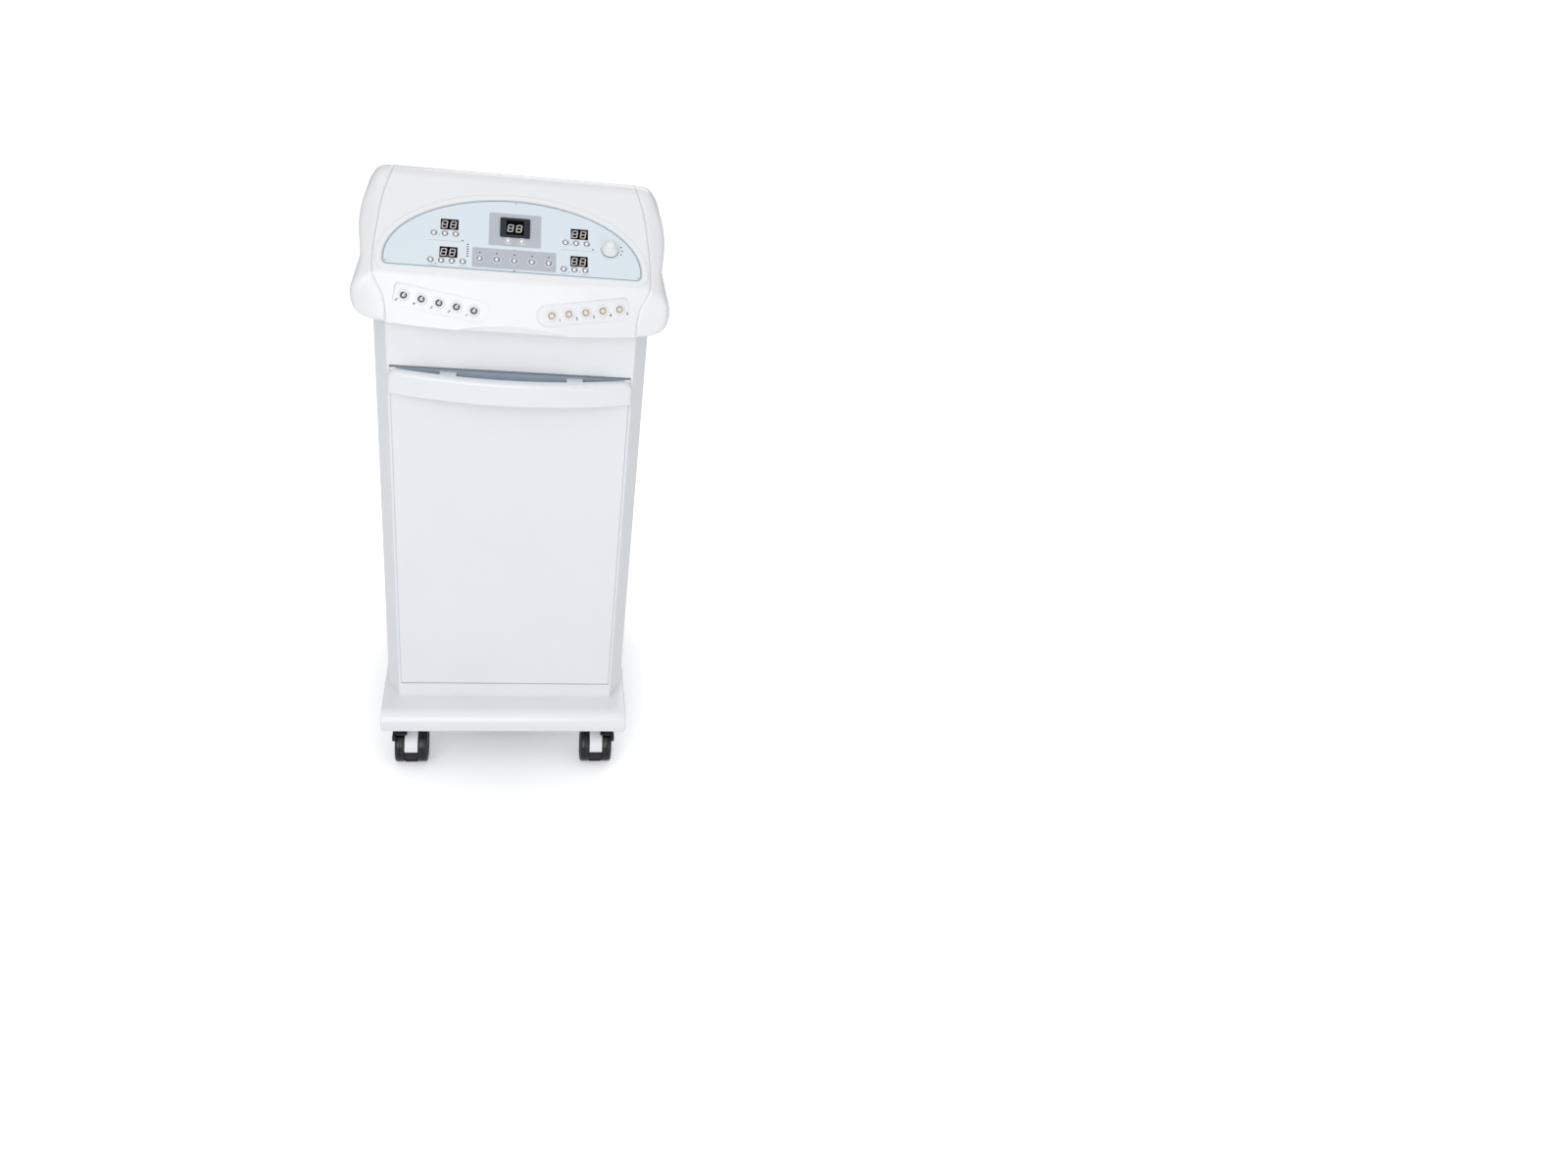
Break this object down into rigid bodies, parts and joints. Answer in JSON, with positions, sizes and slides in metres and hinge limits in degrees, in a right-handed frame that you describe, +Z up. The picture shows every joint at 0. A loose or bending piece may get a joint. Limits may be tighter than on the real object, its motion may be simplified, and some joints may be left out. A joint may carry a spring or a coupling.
{
  "type": "compression therapy pump",
  "caption": "Compression therapy pump on a caster trolley: cabinet with a tilt-out door, and a console with displays, push buttons, a dial and electrode sockets.",
  "frame": {"origin": "on the floor, under the middle of the trolley", "axes": "+X to the right of someone who faces the console, +Y from the front to the back, +Z up"},
  "size_m": [0.452, 0.438, 0.9745],
  "materials": {
    "white_lacquer": "glossy white lacquer on board",
    "door_lacquer": "glossy white lacquer on board",
    "console_plastic": "glossy white moulding",
    "panel_film": "pale blue film, satin",
    "display_black": "dark window",
    "clear_ring": "clear ring",
    "button_chrome": "polished dome",
    "knob_white": "glossy",
    "board_green": "circuit board",
    "socket_chrome": "polished",
    "socket_ivory": "ivory, glossy",
    "grey_sheet": "light grey powder coat",
    "outlet_plastic": "translucent white",
    "cast_aluminium": "cast",
    "foot_rubber": "matt black",
    "hose_grey": "grey hose",
    "valve_body": "matt black",
    "core_steel": "laminated steel",
    "black_plastic": "matt black",
    "rocker_plastic": "glossy black",
    "screw_steel": "zinc plated",
    "caster_white": "glossy white",
    "wheel_black": "black tread"
  },
  "bodies": {
    "trolley": {"base_plate": "white_lacquer", "cabinet_shell": "white_lacquer", "bay_partition": "white_lacquer", "rear_panel": "grey_sheet", "door_hinge_pins": "screw_steel", "console_shell": "console_plastic", "end_cap_left": "console_plastic", "end_cap_right": "console_plastic", "console_floor": "console_plastic", "control_panel": "panel_film", "digit_displays": "display_black", "main_display": "display_black", "button_guides": "clear_ring", "circuit_boards": "board_green", "ems_sockets": "socket_chrome", "heat_sockets": "socket_ivory", "air_outlets": "outlet_plastic", "valve_manifold": "cast_aluminium", "solenoid_valves": "valve_body", "compressor": "cast_aluminium", "compressor_feet": "foot_rubber", "air_hose": "hose_grey", "transformer": "core_steel", "mains_inlet": "black_plastic", "fan_frame": "black_plastic", "fasteners": "screw_steel"},
    "door": {"door_panel": "door_lacquer", "door_grip": "door_lacquer", "grip_brackets": "door_lacquer"},
    "mode_knob": {"mode_knob": "knob_white"},
    "power_rocker": {"power_rocker": "rocker_plastic"},
    "fan_rotor": {"fan_rotor": "black_plastic"},
    "upper_left_button_1": {"upper_left_button_1": "button_chrome"},
    "upper_left_button_2": {"upper_left_button_2": "button_chrome"},
    "upper_left_button_3": {"upper_left_button_3": "button_chrome"},
    "lower_left_button_1": {"lower_left_button_1": "button_chrome"},
    "lower_left_button_2": {"lower_left_button_2": "button_chrome"},
    "lower_left_button_3": {"lower_left_button_3": "button_chrome"},
    "lower_left_button_4": {"lower_left_button_4": "button_chrome"},
    "main_button_1": {"main_button_1": "button_chrome"},
    "main_button_2": {"main_button_2": "button_chrome"},
    "strip_button_1": {"strip_button_1": "button_chrome"},
    "strip_button_2": {"strip_button_2": "button_chrome"},
    "strip_button_3": {"strip_button_3": "button_chrome"},
    "strip_button_4": {"strip_button_4": "button_chrome"},
    "strip_button_5": {"strip_button_5": "button_chrome"},
    "upper_right_button_1": {"upper_right_button_1": "button_chrome"},
    "upper_right_button_2": {"upper_right_button_2": "button_chrome"},
    "upper_right_button_3": {"upper_right_button_3": "button_chrome"},
    "lower_right_button_1": {"lower_right_button_1": "button_chrome"},
    "lower_right_button_2": {"lower_right_button_2": "button_chrome"},
    "lower_right_button_3": {"lower_right_button_3": "button_chrome"},
    "caster_fl": {"caster_hood_fl": "caster_white"},
    "wheels_fl": {"caster_wheels_fl": "wheel_black"},
    "caster_fr": {"caster_hood_fr": "caster_white"},
    "wheels_fr": {"caster_wheels_fr": "wheel_black"},
    "caster_rl": {"caster_hood_rl": "caster_white"},
    "wheels_rl": {"caster_wheels_rl": "wheel_black"},
    "caster_rr": {"caster_hood_rr": "caster_white"},
    "wheels_rr": {"caster_wheels_rr": "wheel_black"}
  },
  "joints": [
    {"name": "door_hinge", "type": "hinge", "parent": "trolley", "child": "door", "pos_m": [0, -0.1564, 0.1457], "axis": [1, 0, 0], "range_deg": [0, 70]},
    {"name": "mode_knob_turn", "type": "hinge", "parent": "trolley", "child": "mode_knob", "pos_m": [0.135, -0.11676, 0.90695], "axis": [0, 0.6428, -0.766], "range_deg": [0, 270]},
    {"name": "power_rocker_tip", "type": "hinge", "parent": "trolley", "child": "power_rocker", "pos_m": [-0.13, 0.1975, 0.205], "axis": [1, 0, 0], "range_deg": [0, 16]},
    {"name": "fan_spin", "type": "hinge", "parent": "trolley", "child": "fan_rotor", "pos_m": [0.118, 0.1835, 0.56], "axis": [0, 1, 0], "continuous": true},
    {"name": "upper_left_button_1_press", "type": "slide", "parent": "trolley", "child": "upper_left_button_1", "axis": [0, 0.6428, -0.766], "range_m": [0, 0.001], "stiffness_N_per_m": 300, "springref_m": -0.002},
    {"name": "upper_left_button_2_press", "type": "slide", "parent": "trolley", "child": "upper_left_button_2", "axis": [0, 0.6428, -0.766], "range_m": [0, 0.001], "stiffness_N_per_m": 300, "springref_m": -0.002},
    {"name": "upper_left_button_3_press", "type": "slide", "parent": "trolley", "child": "upper_left_button_3", "axis": [0, 0.6428, -0.766], "range_m": [0, 0.001], "stiffness_N_per_m": 300, "springref_m": -0.002},
    {"name": "lower_left_button_1_press", "type": "slide", "parent": "trolley", "child": "lower_left_button_1", "axis": [0, 0.6428, -0.766], "range_m": [0, 0.001], "stiffness_N_per_m": 300, "springref_m": -0.002},
    {"name": "lower_left_button_2_press", "type": "slide", "parent": "trolley", "child": "lower_left_button_2", "axis": [0, 0.6428, -0.766], "range_m": [0, 0.001], "stiffness_N_per_m": 300, "springref_m": -0.002},
    {"name": "lower_left_button_3_press", "type": "slide", "parent": "trolley", "child": "lower_left_button_3", "axis": [0, 0.6428, -0.766], "range_m": [0, 0.001], "stiffness_N_per_m": 300, "springref_m": -0.002},
    {"name": "lower_left_button_4_press", "type": "slide", "parent": "trolley", "child": "lower_left_button_4", "axis": [0, 0.6428, -0.766], "range_m": [0, 0.001], "stiffness_N_per_m": 300, "springref_m": -0.002},
    {"name": "main_button_1_press", "type": "slide", "parent": "trolley", "child": "main_button_1", "axis": [0, 0.6428, -0.766], "range_m": [0, 0.001], "stiffness_N_per_m": 300, "springref_m": -0.002},
    {"name": "main_button_2_press", "type": "slide", "parent": "trolley", "child": "main_button_2", "axis": [0, 0.6428, -0.766], "range_m": [0, 0.001], "stiffness_N_per_m": 300, "springref_m": -0.002},
    {"name": "strip_button_1_press", "type": "slide", "parent": "trolley", "child": "strip_button_1", "axis": [0, 0.6428, -0.766], "range_m": [0, 0.001], "stiffness_N_per_m": 300, "springref_m": -0.002},
    {"name": "strip_button_2_press", "type": "slide", "parent": "trolley", "child": "strip_button_2", "axis": [0, 0.6428, -0.766], "range_m": [0, 0.001], "stiffness_N_per_m": 300, "springref_m": -0.002},
    {"name": "strip_button_3_press", "type": "slide", "parent": "trolley", "child": "strip_button_3", "axis": [0, 0.6428, -0.766], "range_m": [0, 0.001], "stiffness_N_per_m": 300, "springref_m": -0.002},
    {"name": "strip_button_4_press", "type": "slide", "parent": "trolley", "child": "strip_button_4", "axis": [0, 0.6428, -0.766], "range_m": [0, 0.001], "stiffness_N_per_m": 300, "springref_m": -0.002},
    {"name": "strip_button_5_press", "type": "slide", "parent": "trolley", "child": "strip_button_5", "axis": [0, 0.6428, -0.766], "range_m": [0, 0.001], "stiffness_N_per_m": 300, "springref_m": -0.002},
    {"name": "upper_right_button_1_press", "type": "slide", "parent": "trolley", "child": "upper_right_button_1", "axis": [0, 0.6428, -0.766], "range_m": [0, 0.001], "stiffness_N_per_m": 300, "springref_m": -0.002},
    {"name": "upper_right_button_2_press", "type": "slide", "parent": "trolley", "child": "upper_right_button_2", "axis": [0, 0.6428, -0.766], "range_m": [0, 0.001], "stiffness_N_per_m": 300, "springref_m": -0.002},
    {"name": "upper_right_button_3_press", "type": "slide", "parent": "trolley", "child": "upper_right_button_3", "axis": [0, 0.6428, -0.766], "range_m": [0, 0.001], "stiffness_N_per_m": 300, "springref_m": -0.002},
    {"name": "lower_right_button_1_press", "type": "slide", "parent": "trolley", "child": "lower_right_button_1", "axis": [0, 0.6428, -0.766], "range_m": [0, 0.001], "stiffness_N_per_m": 300, "springref_m": -0.002},
    {"name": "lower_right_button_2_press", "type": "slide", "parent": "trolley", "child": "lower_right_button_2", "axis": [0, 0.6428, -0.766], "range_m": [0, 0.001], "stiffness_N_per_m": 300, "springref_m": -0.002},
    {"name": "lower_right_button_3_press", "type": "slide", "parent": "trolley", "child": "lower_right_button_3", "axis": [0, 0.6428, -0.766], "range_m": [0, 0.001], "stiffness_N_per_m": 300, "springref_m": -0.002},
    {"name": "swivel_fl", "type": "hinge", "parent": "trolley", "child": "caster_fl", "pos_m": [-0.1566, -0.166, 0.079], "axis": [0, 0, 1], "continuous": true},
    {"name": "roll_fl", "type": "hinge", "parent": "caster_fl", "child": "wheels_fl", "pos_m": [-0.1566, -0.189, 0.03], "axis": [1, 0, 0], "continuous": true},
    {"name": "swivel_fr", "type": "hinge", "parent": "trolley", "child": "caster_fr", "pos_m": [0.1566, -0.166, 0.079], "axis": [0, 0, 1], "continuous": true},
    {"name": "roll_fr", "type": "hinge", "parent": "caster_fr", "child": "wheels_fr", "pos_m": [0.1566, -0.189, 0.03], "axis": [1, 0, 0], "continuous": true},
    {"name": "swivel_rl", "type": "hinge", "parent": "trolley", "child": "caster_rl", "pos_m": [-0.1566, 0.166, 0.079], "axis": [0, 0, 1], "continuous": true},
    {"name": "roll_rl", "type": "hinge", "parent": "caster_rl", "child": "wheels_rl", "pos_m": [-0.1566, 0.189, 0.03], "axis": [1, 0, 0], "continuous": true},
    {"name": "swivel_rr", "type": "hinge", "parent": "trolley", "child": "caster_rr", "pos_m": [0.1566, 0.166, 0.079], "axis": [0, 0, 1], "continuous": true},
    {"name": "roll_rr", "type": "hinge", "parent": "caster_rr", "child": "wheels_rr", "pos_m": [0.1566, 0.189, 0.03], "axis": [1, 0, 0], "continuous": true}
  ]
}
